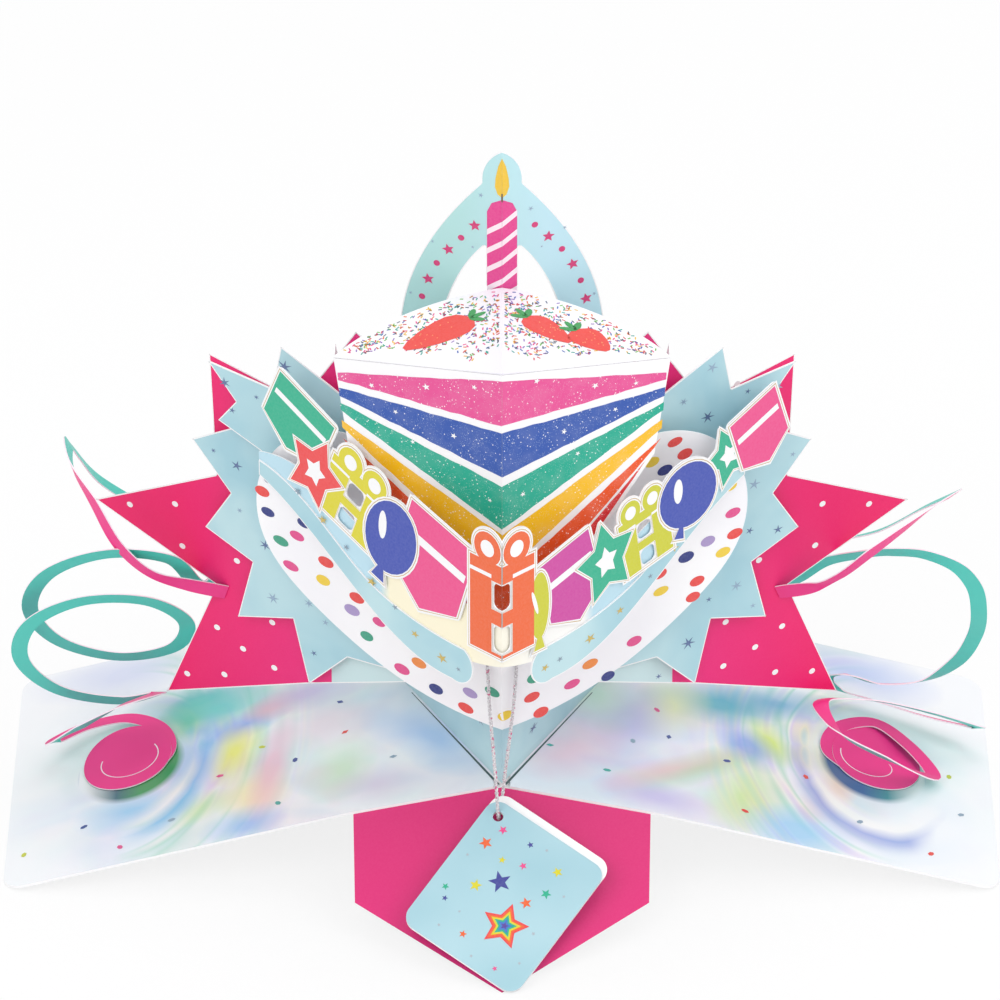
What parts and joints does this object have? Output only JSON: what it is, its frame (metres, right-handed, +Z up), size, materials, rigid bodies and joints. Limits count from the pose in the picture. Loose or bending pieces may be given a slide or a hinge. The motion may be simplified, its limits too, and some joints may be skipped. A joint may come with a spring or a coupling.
{
  "type": "pop up card",
  "caption": "Open pop-up greeting card: two boards, a folded foot, standing star sheets, a striped cake wedge, candle arch, party banner, paper springs and a small booklet on twine",
  "frame": {"origin": "centre of the footprint, on the table that the card stands on", "axes": "+Z up; +X along the open card's width, to the viewer's right; +Y back along the card's fold, away from the viewer"},
  "size_m": [0.302, 0.1782, 0.2365],
  "materials": {
    "board": "iridescent film laminated on stiff board",
    "cover": "smooth white board paper",
    "magenta_card": "printed card",
    "pink_card": "printed card with white dots",
    "pale_card": "printed card with small silver stars",
    "white_card": "printed white card with dots",
    "cake_card": "card printed with glittering rainbow stripes",
    "aqua_card": "printed pale aqua card",
    "cream_card": "cream card",
    "banner_card": "die cut card in several colours",
    "spring_card": "card, pink on one face and teal on the other",
    "twine": "twisted silver and white twine"
  },
  "bodies": {
    "root": {"left_board": "board", "right_board": "board", "spine_strip": "cover", "front_foot": "magenta_card", "centre_support": "pale_card", "pink_star": "pink_card", "blue_star": "pale_card", "upper_star": "pale_card", "dotted_plate": "white_card", "cake_sides": "cake_card", "cake_top": "white_card", "candle_arch": "aqua_card", "cream_ribbon": "cream_card", "left_ribbon": "aqua_card", "right_ribbon": "aqua_card", "banner": "banner_card", "left_spring": "spring_card", "right_spring": "spring_card", "message_booklet": "aqua_card", "twine": "twine"}
  },
  "joints": []
}
